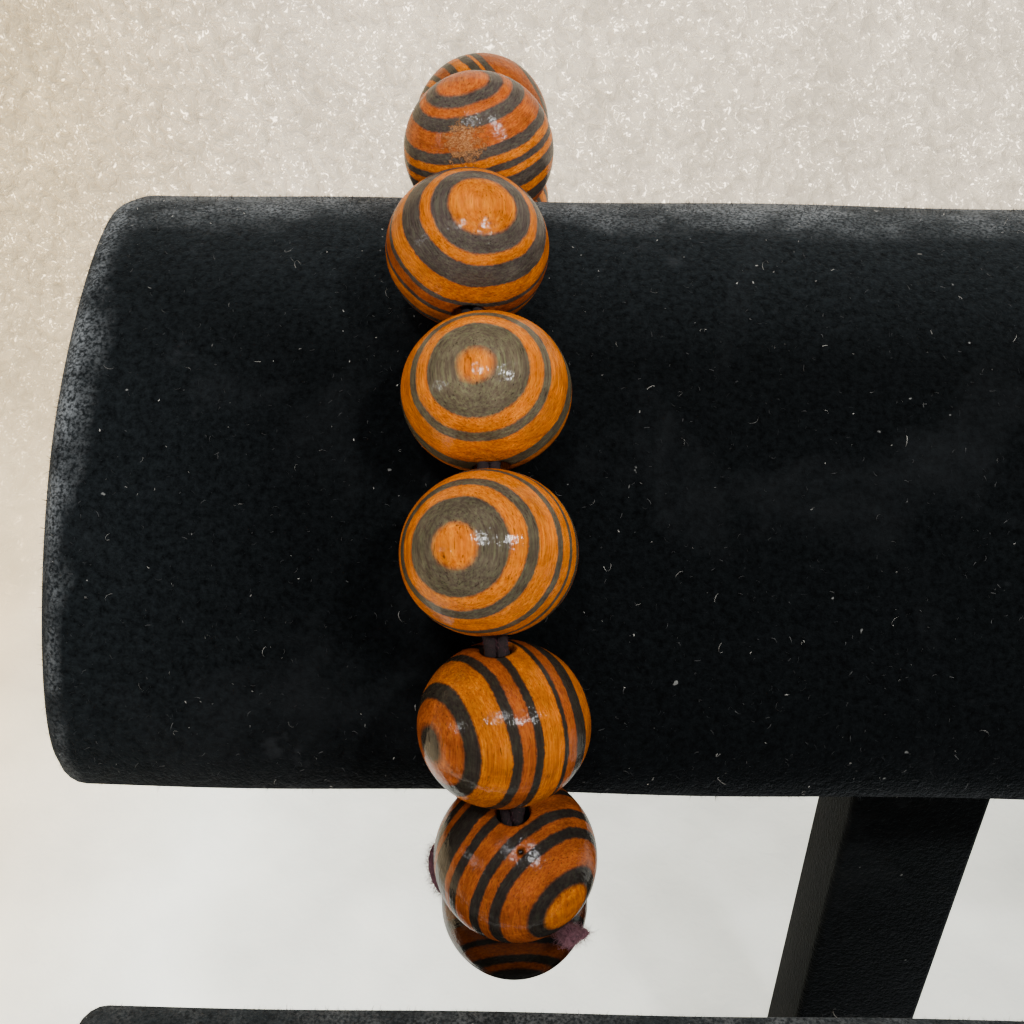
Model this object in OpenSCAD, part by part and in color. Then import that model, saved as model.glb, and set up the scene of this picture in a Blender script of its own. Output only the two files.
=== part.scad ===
// A stretch bracelet of round wooden beads, hanging on a two-tier velvet bar stand.
// Millimetres. The stand rests on Z = 0 with its posts centred on X = 0.
// X runs along the bars, Y goes away from the viewer and Z is up.

/* [Beads] */
// Diameter of a bead across its hole
bead_d = 16; // [15.6:0.1:16.2]
// Length of a bead along its hole
bead_l = 15; // [14.4:0.1:15.1]
// Diameter of the drilled hole
hole_d = 3.6; // [3.4:0.1:4.2]
// Distance between the centres of the beads that hang behind the bar
hang_step = 15.6; // [15.5:0.1:16.5]

/* [Elastic] */
// Diameter of the elastic cord that runs through every bead
cord_d = 1.4; // [1:0.1:1.8]
// Diameter of the knot between the seventh and eighth bead
knot_d = 2.8; // [2.4:0.1:3.4]
// Length of the cut end that stands out of the knot
tail_l = 1.2; // [0.5:0.1:3]

/* [Bars] */
// Length of each bar
bar_l = 206; // [170:2:240]
// Width of a bar across its flat side
bar_w = 70; // [62:1:70]
// Fullness of the round side, where 2 is an oval and less is more pointed towards the edges
bar_full = 1.8; // [1.7:0.05:2]
// Depth of a bar from its flat side to the top of its round side
bar_depth = 16; // [12:0.5:16]
// Radius of the long edges of a bar
bar_edge_r = 2; // [1:0.5:3]
// Lean of the flat side from level
bar_lean = 45; // [40:1:50]
// Height of the middle of the upper bar's flat side
upper_h = 137.1; // [120:0.1:150]
// Height of the middle of the lower bar's flat side
lower_h = 61.4; // [50:0.1:66]
// Distance that the upper bar stands behind the middle of the base
upper_back = 44.2; // [40:0.1:50]
// Distance that the lower bar stands in front of the upper one
tier_step = 57.5; // [50:0.5:62]

/* [Posts and base] */
// Width of a post along the bars
post_w = 18.6; // [16:0.2:30]
// Depth of a post from front to back
post_t = 12; // [8:1:16]
// Width of the base along the bars
base_w = 150; // [120:5:190]
// Depth of the base from front to back
base_depth = 114; // [106:2:150]
// Thickness of the base
base_t = 12; // [8:1:16]
// Radius of the upright corners of the base
base_r = 6; // [2:1:12]

/* [Hidden] */
$fn = 48;
bead_total = 16;
sections_of_bead = 14;
sides_of_cord = 8;
points_of_bar = 26;

// The middle of the front bead, the one that bulges furthest towards the viewer
front_bead = [-57.5, 17, 144.6];

// Columns: side, away and up from the front bead, and the bead's tip on the cord in degrees,
// for the eight beads that lie on the bar, from its top edge down to below its bottom edge
seen_beads = [
    [-2.4, 52.8, 27.0, -2],
    [-2.2, 36.8, 27.2, 4],
    [-2.8, 22.6, 20.7, 7],
    [-0.6, 11.0, 10.65, 3],
    [0, -0.4, 0.2, -3],
    [1.6, -6.2, -14.6, 0],
    [2.9, -8.2, -29.9, 0],
    [3.0, -2.0, -44.3, 0]
];

wood_reds = ["#a8582c", "#b56a2a", "#8f4a2c", "#b4672f"];
elastic_plum = "#4b2c3c";
velvet_black = "#17171a";

function unit(v) = v / norm(v);

// The other beads hang behind the bar on one round arc of equal steps.
seen_total = len(seen_beads);
hang_steps = bead_total - seen_total + 1;
arc_from = seen_beads[seen_total - 1];
arc_to = seen_beads[0];
span_side = [arc_to[1] - arc_from[1], arc_to[2] - arc_from[2]];
span = norm(span_side);
along = unit(span_side);
bulge = [along[1], -along[0]];
arc_mid = [(arc_from[1] + arc_to[1]) / 2, (arc_from[2] + arc_to[2]) / 2];

// Half of the arc's angle, found by halving the range that holds it
function half_angle(low, high, tries) =
    tries == 0 ? (low + high) / 2
    : let (mid = (low + high) / 2, reach = hang_step * sin(mid) / sin(mid / hang_steps))
      reach > span ? half_angle(mid, high, tries - 1) : half_angle(low, mid, tries - 1);
arc_half = half_angle(10, 170, 40);
arc_r = span / (2 * sin(arc_half));
arc_centre = arc_mid - arc_r * cos(arc_half) * bulge;

function hung_place(step) =
    let (turn = -arc_half + 2 * arc_half * step / hang_steps,
         side = arc_from[0] + (arc_to[0] - arc_from[0]) * step / hang_steps,
         at = arc_centre + arc_r * (sin(turn) * along + cos(turn) * bulge))
    [side, at[0], at[1]];

function wrapped(i) = (i + bead_total) % bead_total;
function bead_place(i) =
    let (n = wrapped(i), row = n < seen_total ? seen_beads[n] : hung_place(n - seen_total + 1))
    front_bead + [row[0], row[1], row[2]];
function bead_tip(i) = wrapped(i) < seen_total ? seen_beads[wrapped(i)][3] : 0;
function tipped(v, a) = [v[0], v[1] * cos(a) - v[2] * sin(a), v[1] * sin(a) + v[2] * cos(a)];
function bead_axis(i) = tipped(unit(bead_place(i + 1) - bead_place(i - 1)), bead_tip(i));
function bead_mouth(i, end) = bead_place(i) + end * bead_l / 2 * bead_axis(i);
function gap_middle(i) = (bead_mouth(i, 1) + bead_mouth(i + 1, -1)) / 2;

// Turns the Z axis to a direction
module aimed(direction) {
    rotate([0, acos(direction[2] / norm(direction)), atan2(direction[1], direction[0])]) children();
}

module rod(from, to, r) {
    translate(from) aimed(to - from) cylinder(h = norm(to - from), r = r, $fn = 16);
}

// A bead is an oval turned about its hole, slightly shorter along the hole than across it.
module bead(i) {
    hole_r = hole_d / 2;
    rim = asin(hole_r / (bead_d / 2));
    oval = [for (k = [0 : sections_of_bead])
        let (a = rim + (180 - 2 * rim) * k / sections_of_bead)
        [bead_d / 2 * sin(a), bead_l / 2 * cos(a)]];
    color(wood_reds[i % len(wood_reds)])
    translate(bead_place(i)) aimed(bead_axis(i)) rotate_extrude() polygon(oval);
}

// The cord's route: straight through each hole, and straight on to the next bead's mouth
function cord_route() =
    [for (i = [0 : bead_total - 1]) each [bead_mouth(i, -1), bead_mouth(i, 1)]];

module elastic_cord() {
    route = cord_route();
    rings = len(route);
    function ring_dir(k) = unit(route[(k + 1) % rings] - route[(k + rings - 1) % rings]);
    skin = [for (k = [0 : rings - 1])
        let (across = unit(cross(ring_dir(k), [1, 0, 0])), beside = cross(ring_dir(k), across))
        for (s = [0 : sides_of_cord - 1])
        let (a = 360 * s / sides_of_cord)
        route[k] + cord_d / 2 * (cos(a) * across + sin(a) * beside)];
    function corner(k, s) = (k % rings) * sides_of_cord + s % sides_of_cord;
    faces = [for (k = [0 : rings - 1], s = [0 : sides_of_cord - 1]) each [
        [corner(k, s), corner(k, s + 1), corner(k + 1, s + 1)],
        [corner(k, s), corner(k + 1, s + 1), corner(k + 1, s)]]];
    color(elastic_plum) polyhedron(skin, faces);
}

// The knot lies in the notch between the seventh and eighth bead, tied off from the cord by a
// short stub, with one cut end that points out to the side.
knot_bead = 6;
knot_side = 5.4;
knot_front = 3.2;
stub_r = 0.35;
stub_start = 1.3;
tail_r = 0.5;
module knot() {
    gap = gap_middle(knot_bead);
    link = unit(bead_place(knot_bead + 1) - bead_place(knot_bead));
    side = unit(cross(cross(link, [1, 0, 0]), link));
    front = -cross(side, link);
    out = unit(knot_side * side + knot_front * front);
    middle = gap + knot_side * side + knot_front * front;
    color(elastic_plum) union() {
        translate(middle) sphere(d = knot_d);
        rod(gap + stub_start * out, middle, stub_r);
        rod(middle, middle + (knot_d / 2 + tail_l) * unit(side - 0.3 * front), tail_r);
    }
}

// Half of an oval, a little pointed, with its two long edges rounded. The flat side lies on the
// first axis.
function bar_outline() =
    let (a = bar_w / 2, r = bar_edge_r, p = 2 / bar_full, start = acos(pow(1 - r / a, 1 / p)))
    concat(
        [for (k = [0 : points_of_bar])
            let (t = start + (180 - 2 * start) * k / points_of_bar)
            [a * sign(cos(t)) * pow(abs(cos(t)), p), bar_depth * pow(sin(t), p)]],
        [for (k = [0 : 4]) let (t = 180 + 22.5 * k) [-a + r + r * cos(t), r + r * sin(t)]],
        [for (k = [0 : 4]) let (t = 270 + 22.5 * k) [a - r + r * cos(t), r + r * sin(t)]]
    );

module bar(back, height) {
    color(velvet_black)
    translate([-bar_l / 2, back, height])
    rotate([90, 0, 90]) linear_extrude(bar_l) rotate(bar_lean) polygon(bar_outline());
}

// A post ends under the flat side of its bar, cut at the bar's own lean.
module post(back, height) {
    color(velvet_black)
    difference() {
        translate([-post_w / 2, back - post_t / 2, base_t])
            cube([post_w, post_t, height - base_t + post_t]);
        translate([-post_w, back, height]) rotate([bar_lean, 0, 0])
            translate([0, -bar_w, 0]) cube([2 * post_w, 2 * bar_w, 2 * post_t]);
    }
}

lower_back = upper_back - tier_step;
module upper_bar() { bar(upper_back, upper_h); }
module lower_bar() { bar(lower_back, lower_h); }
module upper_post() { post(upper_back, upper_h); }
module lower_post() { post(lower_back, lower_h); }

module base() {
    x = base_w / 2 - base_r;
    y = base_depth / 2 - base_r;
    color(velvet_black) linear_extrude(base_t) union() {
        square([base_w, 2 * y], center = true);
        square([2 * x, base_depth], center = true);
        for (sx = [-1, 1], sy = [-1, 1]) translate([sx * x, sy * y]) circle(r = base_r);
    }
}

for (i = [0 : bead_total - 1]) {
    bead(i);
}
elastic_cord();
knot();
upper_bar();
lower_bar();
upper_post();
lower_post();
base();
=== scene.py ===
"""Layered wooden bead bracelet on a velvet bar stand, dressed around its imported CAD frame."""

import math

import bmesh
import bpy
import numpy as np
from bpy.props import FloatProperty, FloatVectorProperty, IntProperty, PointerProperty
from mathutils import Matrix, Vector


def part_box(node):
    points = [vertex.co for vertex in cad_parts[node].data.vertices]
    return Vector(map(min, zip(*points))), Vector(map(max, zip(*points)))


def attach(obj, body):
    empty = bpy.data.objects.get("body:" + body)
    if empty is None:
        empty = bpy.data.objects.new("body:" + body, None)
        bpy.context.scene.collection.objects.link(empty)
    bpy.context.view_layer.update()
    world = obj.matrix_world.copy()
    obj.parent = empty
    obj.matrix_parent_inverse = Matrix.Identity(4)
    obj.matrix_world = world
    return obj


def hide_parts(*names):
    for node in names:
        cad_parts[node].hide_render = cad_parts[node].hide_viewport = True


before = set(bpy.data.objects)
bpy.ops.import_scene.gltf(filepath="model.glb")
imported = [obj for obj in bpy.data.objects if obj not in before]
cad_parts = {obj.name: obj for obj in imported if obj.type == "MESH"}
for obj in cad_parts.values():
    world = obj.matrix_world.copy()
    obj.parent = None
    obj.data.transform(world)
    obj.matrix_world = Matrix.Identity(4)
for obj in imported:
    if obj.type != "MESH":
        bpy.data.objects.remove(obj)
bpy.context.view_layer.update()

bl_info = {
    "name": "Layered bead bracelet",
    "version": (1, 0, 0),
    "blender": (4, 5, 0),
    "location": "View3D > Sidebar > Bracelet",
    "description": "Dresses a wooden bead bracelet and its velvet bar stand",
    "category": "Object",
}

MM = 0.001
BODY = "root"
BEAD_NODES = [f"bead_{i:02d}" for i in range(1, 17)]
IMAGE_PX = 1024
BEAD_MM = 16.0

# Depth of each layer's far side from the eye of the bead, in millimetres, with its dye.
# The eye's direction is told on the bead's own line of sight: right, up and towards the viewer.
O, R, D = "orange", "brick", "dark"
CHARTED_BEADS = {
    "bead_01": ((-0.86, -0.48, 0.20),
                [(0.8, O), (1.9, D), (3.4, R), (4.2, D), (4.9, O), (5.6, D), (6.8, R), (7.7, D),
                 (8.8, O), (9.9, D), (10.25, O), (11.1, D), (14.5, R), (15.2, D), (16, R)]),
    "bead_02": ((-0.20, 0.86, 0.47),
                [(0.45, R), (1.1, D), (1.65, R), (2.65, D), (4.3, R), (5.35, D), (6.15, O),
                 (6.9, D), (7.65, O), (9.3, D), (10.35, O), (11.9, D), (13.6, R), (16, D)]),
    "bead_03": ((0.19, 0.53, 0.83),
                [(0.65, O), (1.6, D), (2.3, O), (4.0, D), (5.75, O), (6.3, D), (7.6, R),
                 (8.2, D), (10.0, O), (11.3, D), (13.2, R), (14.4, D), (16, O)]),
    "bead_04": ((-0.11, 0.29, 0.95),
                [(0.15, O), (1.45, D), (2.4, O), (3.2, D), (5.75, O), (7.6, D), (9.2, O),
                 (10.4, D), (12.3, R), (13.4, D), (16, O)]),
    "bead_05": ((-0.36, 0.08, 0.93),
                [(0.25, O), (1.4, D), (2.35, O), (3.2, D), (4.95, O), (5.7, D), (6.75, O),
                 (7.35, D), (8.4, O), (9.6, D), (11.4, R), (12.6, D), (14.6, O), (16, D)]),
    "bead_06": ((-0.82, -0.22, 0.52),
                [(0.2, D), (1.1, R), (2.05, D), (4.0, O), (4.85, D), (5.95, R), (6.75, D),
                 (8.85, O), (9.4, D), (10.5, R), (12.0, D), (13.6, O), (14.6, D), (16, R)]),
    "bead_07": ((0.61, -0.59, 0.53),
                [(0.4, O), (1.1, D), (2.7, R), (3.55, D), (4.35, R), (5.25, D), (6.9, R),
                 (7.85, D), (8.6, R), (10.9, D), (11.7, R), (12.75, D), (14.2, R), (16, D)]),
    "bead_08": ((0.03, -0.97, 0.23),
                [(0.6, D), (1.0, R), (1.65, D), (2.6, R), (3.1, D), (4.6, R), (5.4, D), (7.0, R),
                 (7.9, D), (9.4, O), (10.4, D), (12.0, R), (13.1, D), (14.6, R), (16, D)]),
}

# How bright a bead's wood is, how bright its dark layers are on top of that, and how blue. The two
# brightnesses are painted light and shade: each is set to how brightly the bead is lit where it hangs,
# so the lowest beads, in the shade of the bar and the beads above, are much darker.
BEAD_TONES_AND_SHADE = {"bead_01": (0.80, 1.0, 1.2), "bead_02": (1.00, 1.0, 1.4),
              "bead_03": (0.76, 1.25, 1.4), "bead_04": (0.84, 1.65, 1.05),
              "bead_05": (0.82, 1.30, 1.1), "bead_06": (0.62, 0.50, 1.3),
              "bead_07": (0.56, 0.42, 1.4), "bead_08": (0.125, 0.55, 1.2)}
HIDDEN_TONES = (0.9, 0.8, 1.2)

# The rubbed place on the second bead and the pit in the seventh: where on the bead's own line
# of sight, and how far each reaches and how softly it ends, in radians
RUBBED_PLACE = ((-0.20, 0.10, 0.98), 0.42, 0.34)
PIT_PLACE = ((0.07, 0.04, 0.99), 0.055, 0.02)
PIT_DEPTH = 0.5 * MM

# The far cut end of the elastic, on the seventh bead's line of sight, in millimetres
FAR_END_MM = ((-5.6, -4.4, -4.8), (-7.1, -3.4, -3.2), (-7.9, -2.2, -1.9), (-8.2, -0.9, -1.1),
              (-8.1, 0.2, -1.1), (-7.8, 0.9, -1.7))

# Lamps: place from the fifth bead and width in metres, watts, and whether gloss shows the lamp
LAMPS = {"ceiling_light": ((0.02, -0.04, 0.70), 0.40, 2.1, False),
         "right_light": ((0.15, -0.19, 0.24), 0.032, 0.72, True),
         "front_light": ((-0.05, -0.22, 0.30), 0.024, 0.42, True),
         "left_light": ((-0.34, -0.15, 0.12), 0.036, 0.11, True),
         "fill_light": ((0.00, -0.32, 0.06), 0.25, 0.42, False)}


def metres(value, name, text):
    """A length property in metres with a plain description."""
    return FloatProperty(name=name, description=text, default=value, unit="LENGTH")


def colour(value, name, text):
    """A linear colour property."""
    return FloatVectorProperty(name=name, description=text, default=value, size=3,
                               min=0, max=1, subtype="COLOR")


class BeadSettings(bpy.types.PropertyGroup):
    """Sizes and dyes of the beads."""
    across: metres(BEAD_MM * MM, "Across", "Diameter of a bead across its hole")
    along: metres(15 * MM, "Along", "Length of a bead along its hole")
    hole: metres(3.2 * MM, "Hole", "Diameter of the drilled hole")
    lip: metres(0.10 * MM, "Lip", "How far the hole's mouth is rounded open")
    uneven: metres(0.05 * MM, "Unevenness", "How far the hand-turned surface strays")
    around_seen: IntProperty(name="Steps seen", description="Steps round a bead in front", default=184)
    around_hidden: IntProperty(name="Steps behind", description="Steps round a bead behind", default=88)
    orange: colour((0.75, 0.162, 0.0), "Orange", "Orange dyed layers")
    brick: colour((0.48, 0.092, 0.012), "Brick", "Brick red dyed layers")
    dark: colour((0.082, 0.059, 0.036), "Dark", "Dark grey-brown dyed layers")


class ElasticSettings(bpy.types.PropertyGroup):
    """Sizes and colour of the elastic and its knot."""
    strand: metres(1.05 * MM, "Strand", "Diameter of one covered strand")
    spread: metres(0.76 * MM, "Spread", "Distance of each strand from the middle of the bundle")
    strands: IntProperty(name="Strands", description="Strands side by side", default=4)
    knot: metres(2.8 * MM, "Knot", "Diameter of the knot")
    knot_side: metres(5.4 * MM, "Knot side", "How far the knot lies beside the cord")
    knot_front: metres(3.2 * MM, "Knot front", "How far the knot lies in front of the cord")
    plum: colour((0.011, 0.0055, 0.0055), "Plum", "Fabric cover of the elastic")
    frayed: colour((0.080, 0.028, 0.038), "Frayed", "Frayed cover of the cut ends")
    # The fluff is a paler copy of the cover's colour: painted light, for single fibres that glow where
    # light shines through them.
    fluff: colour((0.17, 0.075, 0.09), "Fluff", "Single fibres that stand out of the cover")


class VelvetSettings(bpy.types.PropertyGroup):
    """Shape and colour of the velvet-covered stand."""
    bar_width: metres(70 * MM, "Bar width", "Width of a bar's flat side")
    bar_depth: metres(16 * MM, "Bar depth", "Depth of a bar from its flat side")
    bar_edge: metres(2 * MM, "Bar edge", "Radius of a bar's long edges")
    bar_full: FloatProperty(name="Bar fullness", description="2 is an oval, less is more pointed",
                            default=1.8)
    bar_lean: FloatProperty(name="Bar lean", description="Lean of the flat side",
                            default=math.radians(45), subtype="ANGLE")
    end_round: metres(3.0 * MM, "End rounding", "Radius where the cloth turns over a bar's end")
    pile: metres(0.55 * MM, "Pile", "Length of the pile fibres at the edges")
    black: colour((0.0024, 0.0030, 0.0033), "Black", "Depth of the velvet")
    worn: colour((0.055, 0.059, 0.063), "Worn", "Rubbed and dusty patches")
    # The edge colour is partly painted sheen, the pale grey of the pile where it catches the light, and
    # partly real wear.
    edge: colour((0.190, 0.202, 0.208), "Edge", "Brushed nap on the edges")


class StageSettings(bpy.types.PropertyGroup):
    """Camera and backdrop."""
    focal_px: FloatProperty(name="Focal length", description="In picture pixels", default=1025)
    pitch: FloatProperty(name="Pitch", description="Camera's look down",
                         default=math.radians(30.75), subtype="ANGLE")
    roll: FloatProperty(name="Roll", description="Camera's turn about its own line of sight",
                        default=math.radians(0.97), subtype="ANGLE")
    in_front: metres(76.7 * MM, "In front", "Camera's distance in front of the fifth bead")
    above: metres(49.9 * MM, "Above", "Camera's height above the fifth bead")
    beside: metres(2.0 * MM, "Beside", "Camera's distance to the right of the fifth bead")
    sweep: metres(0.16, "Sweep", "Radius where the backdrop turns up")
    warm: colour((0.90, 0.76, 0.58), "Warm", "Backdrop away from the viewer")
    cool: colour((0.86, 0.89, 0.82), "Cool", "Backdrop near the viewer")


def camera_turn(stage):
    """The camera's rotation: level, tipped down by the pitch and turned by the roll."""
    tip = Matrix.Rotation(math.radians(90) - stage.pitch, 3, "X")
    return tip @ Matrix.Rotation(stage.roll, 3, "Z")


def unit(v):
    return v / v.length


def node_middle(node):
    low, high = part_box(node)
    return (low + high) / 2


def camera_place(stage):
    """The camera's place, told from the fifth bead."""
    return node_middle("bead_05") + Vector((stage.beside, -stage.in_front, stage.above))


def sight(stage, middle):
    """Columns that point right, up and towards the viewer on the line of sight to a place."""
    toward = unit(camera_place(stage) - middle)
    level = camera_turn(stage) @ Vector((1, 0, 0))
    right = unit(level - level.dot(toward) * toward)
    return Matrix((right, toward.cross(right), toward)).transposed()


def bead_frames():
    """Each bead's middle and the direction of its hole, from the points of its CAD solid."""
    solids = []
    for node in BEAD_NODES:
        co = np.array([v.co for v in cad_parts[node].data.vertices])
        solids.append(np.unique(co.round(7), axis=0))
    middles = [points.mean(0) for points in solids]
    frames = []
    for i, points in enumerate(solids):
        spread, ways = np.linalg.eigh(np.cov((points - middles[i]).T))
        odd = 2 if spread[2] - spread[1] > spread[1] - spread[0] else 0
        run = middles[(i + 1) % len(solids)] - middles[i - 1]
        axis = ways[:, odd] * np.sign(ways[:, odd] @ run)
        frames.append((Vector(middles[i]), Vector(axis)))
    return frames


# Node and material helpers

class Tree:
    """Short calls for building a node tree. A value is a number, a tuple or a node's socket."""

    def __init__(self, tree):
        self.tree = tree

    def add(self, kind, inputs=None, **settings):
        node = self.tree.nodes.new(kind)
        for key, value in settings.items():
            setattr(node, key, value)
        for key, value in (inputs or {}).items():
            self.put(node.inputs[key], value)
        return node

    def put(self, socket, value):
        if isinstance(value, bpy.types.NodeSocket):
            self.tree.links.new(value, socket)
        else:
            socket.default_value = value

    def maths(self, operation, a, b=None):
        node = self.add("ShaderNodeMath", {0: a}, operation=operation)
        if b is not None:
            self.put(node.inputs[1], b)
        return node.outputs[0]

    def times(self, first, *others):
        for other in others:
            first = self.maths("MULTIPLY", first, other)
        return first

    def plus(self, first, *others):
        for other in others:
            first = self.maths("ADD", first, other)
        return first

    def minus(self, a, b):
        return self.maths("SUBTRACT", a, b)

    def vector(self, operation, a, b):
        return self.add("ShaderNodeVectorMath", {0: a, 1: b}, operation=operation).outputs[0]

    def scaled(self, vector, scale):
        node = self.add("ShaderNodeVectorMath", {0: vector, "Scale": scale}, operation="SCALE")
        return node.outputs[0]

    def point(self, x, y, z):
        return self.add("ShaderNodeCombineXYZ", {0: x, 1: y, 2: z}).outputs[0]

    def axes(self, vector):
        return self.add("ShaderNodeSeparateXYZ", {0: vector}).outputs

    def noise(self, vector, scale, detail, roughness=0.55, **inputs):
        node = self.add("ShaderNodeTexNoise", {"Vector": vector, "Scale": scale, "Detail": detail,
                                               "Roughness": roughness, **inputs})
        return node.outputs["Fac"]

    def swing(self, reach, *noise):
        """A noise centred on nought."""
        return self.times(self.minus(self.noise(*noise), 0.5), reach)

    def remap(self, value, low, high, to_low=0.0, to_high=1.0):
        node = self.add("ShaderNodeMapRange", {"Value": value, "From Min": low, "From Max": high,
                                               "To Min": to_low, "To Max": to_high})
        return node.outputs[0]

    def mixed(self, factor, a, b, blend="MIX"):
        node = self.add("ShaderNodeMix", {"Factor": factor}, data_type="RGBA", blend_type=blend)
        for socket, value in ((node.inputs[6], a), (node.inputs[7], b)):
            self.put(socket, value if isinstance(value, bpy.types.NodeSocket) else (*value, 1.0))
        return node.outputs[2]

    def attribute(self, name, output="Fac"):
        return self.add("ShaderNodeAttribute", attribute_name=name).outputs[output]

    def bump(self, height, strength, distance):
        node = self.add("ShaderNodeBump", {"Height": height, "Strength": strength,
                                           "Distance": distance})
        return node.outputs[0]

    def surface(self, values):
        """Sets or links the shader's own sockets."""
        for key, value in values.items():
            self.put(self.shader.inputs[key], value)

    def moved(self, geometry, **where):
        """Geometry with each point at a new Position, or moved by an Offset."""
        return self.add("GeometryNodeSetPosition", {"Geometry": geometry, **where}).outputs[0]

    def swollen(self, geometry, distance):
        """Geometry pushed out along its normals."""
        normal = self.add("GeometryNodeInputNormal").outputs[0]
        return self.moved(geometry, Offset=self.scaled(normal, distance))


def geometry_tree(name, inputs):
    """An empty Geometry Nodes tree with named inputs, and the helper that fills it."""
    tree = bpy.data.node_groups.new(name, "GeometryNodeTree")
    tree.interface.new_socket("Geometry", in_out="INPUT", socket_type="NodeSocketGeometry")
    tree.interface.new_socket("Geometry", in_out="OUTPUT", socket_type="NodeSocketGeometry")
    for label, kind in inputs:
        tree.interface.new_socket(label, in_out="INPUT", socket_type=f"NodeSocket{kind}")
    build = Tree(tree)
    build.given = tree.nodes.new("NodeGroupInput").outputs
    build.result = tree.nodes.new("NodeGroupOutput").inputs
    return build


def finish_tree(build, geometry):
    """Ends a tree with realized instances and the material."""
    real = build.add("GeometryNodeRealizeInstances", {"Geometry": geometry})
    painted = build.add("GeometryNodeSetMaterial",
                        {"Geometry": real.outputs[0], "Material": build.given["Material"]})
    build.put(build.result["Geometry"], painted.outputs[0])
    return build.tree


def plain_object(name, mesh):
    obj = bpy.data.objects.new(name, mesh)
    bpy.context.scene.collection.objects.link(obj)
    return obj


def grown(name, tree, values, base=None):
    """Runs a tree on a mesh or curve with the named values and returns a plain mesh."""
    data = base if base is not None else bpy.data.meshes.new(name + "_seed")
    holder = plain_object(name + "_holder", data)
    modifier = holder.modifiers.new("Nodes", "NODES")
    modifier.node_group = tree
    for item in tree.interface.items_tree:
        if item.in_out == "INPUT" and item.name in values:
            modifier[item.identifier] = values[item.name]
    bpy.context.view_layer.update()
    evaluated = holder.evaluated_get(bpy.context.evaluated_depsgraph_get())
    mesh = bpy.data.meshes.new_from_object(evaluated)
    holder.modifiers.remove(modifier)
    bpy.data.objects.remove(holder)
    mesh.name = name
    return mesh


def smooth(mesh):
    mesh.polygons.foreach_set("use_smooth", [True] * len(mesh.polygons))
    mesh.update()


def settle(obj, slot, *nodes):
    """Puts a finished piece on its body and hides the CAD nodes it stands for. The slot is not used."""
    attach(obj, BODY)
    if nodes:
        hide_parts(*nodes)


def new_material(name):
    material = bpy.data.materials.new(name)
    material.use_nodes = True
    build = Tree(material.node_tree)
    material.node_tree.nodes.clear()
    build.shader = build.add("ShaderNodeBsdfPrincipled")
    out = build.add("ShaderNodeOutputMaterial")
    build.tree.links.new(build.shader.outputs[0], out.inputs["Surface"])
    return material, build


def mark(mesh, name, values):
    """A value for each point, which materials and fibres read by its name."""
    kind, field = ("FLOAT_VECTOR", "vector") if values.ndim == 2 else ("FLOAT", "value")
    mesh.attributes.new(name, kind, "POINT").data.foreach_set(field, values.ravel())


# Wooden beads

def bead_tree():
    """A drilled bead: an oval turned about its hole, a bore with rounded mouths, turned unevenly."""
    build = geometry_tree("Drilled bead", [
        ("Across", "Float"), ("Along", "Float"), ("Hole", "Float"), ("Lip", "Float"),
        ("Unevenness", "Float"), ("Around", "Int"), ("Seed", "Float"), ("Material", "Material")])
    given, m = build.given, build.maths
    half = build.times(given["Across"], 0.5)
    half_length = build.times(given["Along"], 0.5)
    hole_r = build.times(given["Hole"], 0.5)
    rim = m("ARCSINE", m("DIVIDE", build.plus(hole_r, given["Lip"]), half))
    place = build.add("GeometryNodeInputPosition").outputs[0]

    def turned(rows, radius_of, height_of):
        """A grid rolled round the hole, with its radius and height told from mouth to mouth."""
        grid = build.add("GeometryNodeMeshGrid", {"Size X": 1.0, "Size Y": 1.0,
                                                  "Vertices X": given["Around"], "Vertices Y": rows})
        across, along, _ = build.axes(place)
        turn = build.times(across, math.tau)
        t = build.plus(along, 0.5)
        radius = radius_of(t)
        rolled = build.point(build.times(radius, m("COSINE", turn)),
                             build.times(radius, m("SINE", turn)), height_of(t))
        return build.moved(grid.outputs[0], Position=rolled)

    def angle(t):
        sweep = build.minus(math.pi, build.times(rim, 2.0))
        return build.minus(build.minus(math.pi, rim), build.times(t, sweep))

    def flare(t):
        """1 at both mouths of the bore and 0 in its middle."""
        return m("POWER", m("ABSOLUTE", build.minus(build.times(t, 2.0), 1.0)), 14.0)

    outer = turned(m("ROUND", build.times(given["Around"], 0.6)),
                   lambda t: build.times(half, m("SINE", angle(t))),
                   lambda t: build.times(half_length, m("COSINE", angle(t))))
    mouth = build.times(half_length, m("COSINE", rim))
    bore = turned(40,
                  lambda t: build.plus(hole_r, build.times(given["Lip"], flare(t))),
                  lambda t: build.times(mouth, build.minus(1.0, build.times(t, 2.0))))
    both = build.add("GeometryNodeJoinGeometry")
    build.put(both.inputs[0], bore)
    build.put(both.inputs[0], outer)
    merged = build.add("GeometryNodeMergeByDistance", {"Geometry": both.outputs[0],
                                                       "Distance": 2e-6})
    wobble = build.add("ShaderNodeTexNoise", {"Vector": place, "W": given["Seed"], "Scale": 150.0,
                                              "Detail": 2.0}, noise_dimensions="4D")
    centred = build.times(build.minus(wobble.outputs["Fac"], 0.5),
                          build.times(given["Unevenness"], 4.0))
    return finish_tree(build, build.swollen(merged.outputs[0], centred))


def layer_dyes(build, depth, bands, dyes_and_shade):
    """The colour at a depth in millimetres: the layer's dye with the bead's painted light and shade,
    with a slightly soft edge between two layers.
    """
    soft = 0.07
    stops = [(0.0, bands[0][1])]
    for (end, dye), (_, next_dye) in zip(bands, bands[1:]):
        stops += [(end - soft, dye), (end + soft, next_dye)]
    node = build.add("ShaderNodeValToRGB", {0: build.remap(depth, 0.0, BEAD_MM)})
    elements = node.color_ramp.elements
    while len(elements) < len(stops):
        elements.new(1.0)
    for element, (at, dye) in zip(elements, stops):
        element.position = min(max(at / BEAD_MM, 0.0), 1.0)
        element.color = (*dyes_and_shade[dye], 1.0)
    return node.outputs["Color"]


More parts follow.
